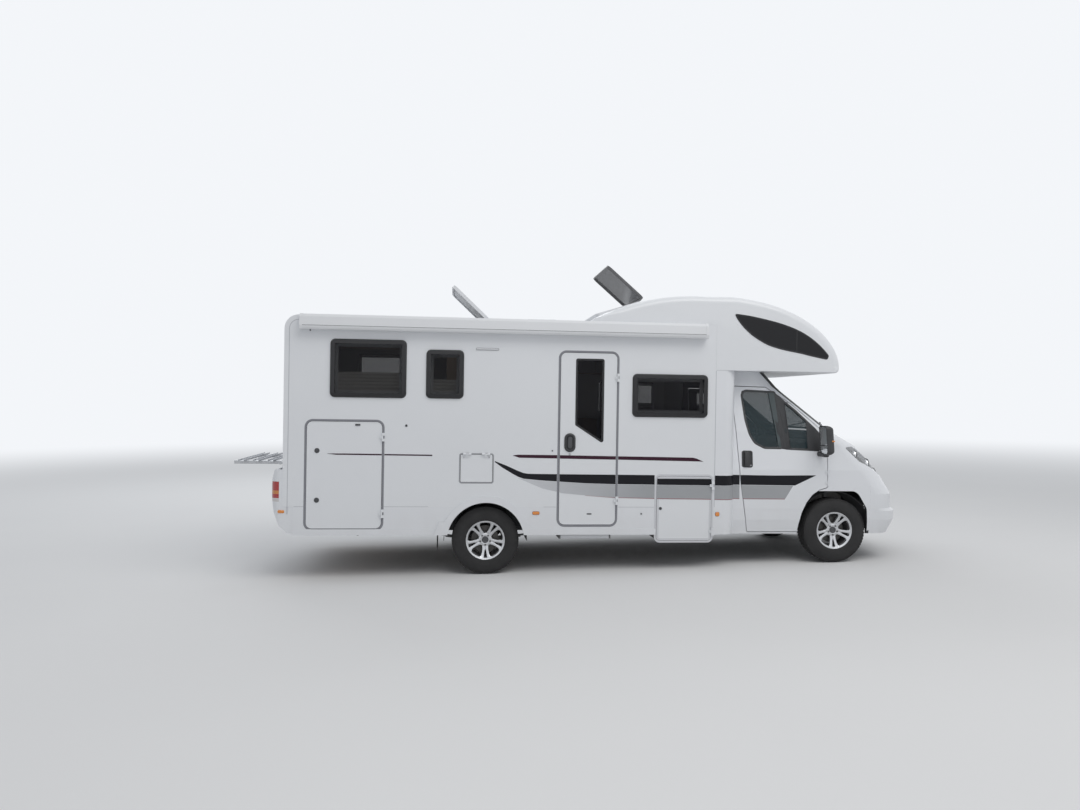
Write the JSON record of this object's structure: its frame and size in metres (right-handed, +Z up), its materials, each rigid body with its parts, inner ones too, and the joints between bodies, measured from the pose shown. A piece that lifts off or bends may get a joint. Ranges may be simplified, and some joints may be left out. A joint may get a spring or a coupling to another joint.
{
  "type": "motorhome",
  "caption": "Coach-built motorhome with a sleeping space over its cab, steered front wheels, and doors, hatches, rooflights and a carrier that open.",
  "frame": {"origin": "on the ground under the middle of the vehicle's bounding box", "axes": "+X forward, +Y to the vehicle's left, +Z up; the body sits nose-down by 1.25 degrees on its level wheels"},
  "size_m": [7.7871, 2.57, 3.5031],
  "materials": {
    "white_paint": "gloss",
    "white_panel": "satin",
    "awning_white": "satin",
    "white_plastic": "gloss",
    "grey_steel": "satin",
    "cast_block": "rough",
    "seat_fabric": "woven",
    "anodised_tube": "satin",
    "dark_plastic": "matte",
    "black_plastic": "matte",
    "cab_glass": "clear",
    "tinted_glass": "tinted",
    "smoked_acrylic": "smoked",
    "plywood": "satin",
    "cabinet_wood": "satin",
    "lamp_clear": "clear",
    "lamp_red": "gloss",
    "alloy": "satin",
    "tyre": "matte"
  },
  "bodies": {
    "vehicle_body": {"alcove": "white_paint", "awning": "awning_white", "cab_body": "white_paint", "cab_floor": "grey_steel", "cab_seats": "seat_fabric", "cab_surrounds": "white_paint", "carrier_frame": "anodised_tube", "chassis": "grey_steel", "cross_members": "grey_steel", "step_runners": "grey_steel", "dashboard": "dark_plastic", "engine": "cast_block", "floor": "plywood", "front_bumper": "white_paint", "front_suspension": "grey_steel", "furniture": "cabinet_wood", "garage_tub": "plywood", "gas_locker": "grey_steel", "headlamps": "lamp_clear", "rear_axle": "grey_steel", "rear_bumper": "white_paint", "rear_wall": "white_panel", "roof_panel": "white_panel", "rooflight_frames": "white_plastic", "side_wall_left": "white_panel", "side_wall_right": "white_panel", "skirts": "white_paint", "tail_lamps": "lamp_red", "tanks": "dark_plastic", "wheel_boxes": "dark_plastic", "windows": "tinted_glass", "windscreen": "cab_glass"},
    "front_left_steer": {"knuckle_left": "grey_steel"},
    "front_right_steer": {"knuckle_right": "grey_steel"},
    "front_left_wheel": {"tyre_front_left": "tyre", "rim_front_left": "alloy"},
    "front_right_wheel": {"tyre_front_right": "tyre", "rim_front_right": "alloy"},
    "rear_left_wheel": {"tyre_rear_left": "tyre", "rim_rear_left": "alloy"},
    "rear_right_wheel": {"tyre_rear_right": "tyre", "rim_rear_right": "alloy"},
    "left_cab_door": {"cab_door_left": "white_paint", "door_glass_left": "cab_glass", "mirror_left": "black_plastic"},
    "right_cab_door": {"cab_door_right": "white_paint", "door_glass_right": "cab_glass", "mirror_right": "black_plastic"},
    "entry_door": {"entry_door": "white_panel", "entry_glass": "tinted_glass"},
    "garage_door": {"garage_door": "white_panel"},
    "gas_locker_door": {"gas_locker_door": "white_panel"},
    "service_hatch": {"service_hatch": "white_panel"},
    "toilet_hatch": {"toilet_hatch": "white_panel"},
    "bonnet": {"bonnet": "white_paint"},
    "rear_rooflight_lid": {"rooflight_rear_lid": "white_plastic"},
    "front_rooflight_lid": {"rooflight_front_lid": "smoked_acrylic"},
    "carrier_platform": {"carrier_platform": "anodised_tube"},
    "entry_step": {"entry_step": "anodised_tube"}
  },
  "joints": [
    {"name": "left_steering", "type": "hinge", "parent": "vehicle_body", "child": "front_left_steer", "pos_m": [2.945, 0.755, 0.372], "axis": [0, 0, 1], "range_deg": [-35, 35]},
    {"name": "right_steering", "type": "hinge", "parent": "vehicle_body", "child": "front_right_steer", "pos_m": [2.945, -0.755, 0.372], "axis": [0, 0, 1], "range_deg": [-35, 35]},
    {"name": "front_left_spin", "type": "hinge", "parent": "front_left_steer", "child": "front_left_wheel", "pos_m": [2.945, 0.905, 0.372], "axis": [0, 1, 0], "continuous": true},
    {"name": "front_right_spin", "type": "hinge", "parent": "front_right_steer", "child": "front_right_wheel", "pos_m": [2.945, -0.905, 0.372], "axis": [0, 1, 0], "continuous": true},
    {"name": "rear_left_spin", "type": "hinge", "parent": "vehicle_body", "child": "rear_left_wheel", "pos_m": [-1.09, 0.99, 0.372], "axis": [0, 1, 0], "continuous": true},
    {"name": "rear_right_spin", "type": "hinge", "parent": "vehicle_body", "child": "rear_right_wheel", "pos_m": [-1.09, -0.99, 0.372], "axis": [0, 1, 0], "continuous": true},
    {"name": "left_cab_door", "type": "hinge", "parent": "vehicle_body", "child": "left_cab_door", "pos_m": [2.86423, 1.019, 0.98775], "axis": [-0.0218, 0, -0.9998], "range_deg": [0, 68]},
    {"name": "right_cab_door", "type": "hinge", "parent": "vehicle_body", "child": "right_cab_door", "pos_m": [2.86423, -1.019, 0.98775], "axis": [0.0218, 0, 0.9998], "range_deg": [0, 68]},
    {"name": "entry_door", "type": "hinge", "parent": "vehicle_body", "child": "entry_door", "pos_m": [0.36304, -1.168, 1.46493], "axis": [0.0218, 0, 0.9998], "range_deg": [0, 100]},
    {"name": "garage_door", "type": "hinge", "parent": "vehicle_body", "child": "garage_door", "pos_m": [-2.19238, -1.168, 1.10659], "axis": [0.0218, 0, 0.9998], "range_deg": [0, 110]},
    {"name": "gas_locker_door", "type": "hinge", "parent": "vehicle_body", "child": "gas_locker_door", "pos_m": [1.43713, -1.168, 0.67781], "axis": [0.0218, 0, 0.9998], "range_deg": [0, 105]},
    {"name": "service_hatch", "type": "hinge", "parent": "vehicle_body", "child": "service_hatch", "pos_m": [-1.17998, -1.168, 1.32005], "axis": [-0.9998, 0, 0.0218], "range_deg": [0, 90]},
    {"name": "toilet_hatch", "type": "hinge", "parent": "vehicle_body", "child": "toilet_hatch", "pos_m": [-0.60051, 1.168, 1.12937], "axis": [0.9998, 0, -0.0218], "range_deg": [0, 90]},
    {"name": "bonnet", "type": "hinge", "parent": "vehicle_body", "child": "bonnet", "pos_m": [2.98289, 0, 1.47528], "axis": [0, -1, 0], "range_deg": [0, 50]},
    {"name": "rear_rooflight_lid", "type": "hinge", "parent": "vehicle_body", "child": "rear_rooflight_lid", "pos_m": [-1.0207, 0, 2.82094], "axis": [0, 1, 0], "range_deg": [-43, 15]},
    {"name": "front_rooflight_lid", "type": "hinge", "parent": "vehicle_body", "child": "front_rooflight_lid", "pos_m": [0.8158, 0, 3.07449], "axis": [0, 1, 0], "range_deg": [-58, 4]},
    {"name": "carrier_fold", "type": "hinge", "parent": "vehicle_body", "child": "carrier_platform", "pos_m": [-3.37428, 0, 1.2159], "axis": [0, 1, 0], "range_deg": [0, 88]},
    {"name": "step_slide", "type": "slide", "parent": "vehicle_body", "child": "entry_step", "axis": [0, -1, 0], "range_m": [0, 0.26]}
  ],
  "couplings": [
    {"joint": "right_steering", "follows": "left_steering", "ratio": 1}
  ]
}
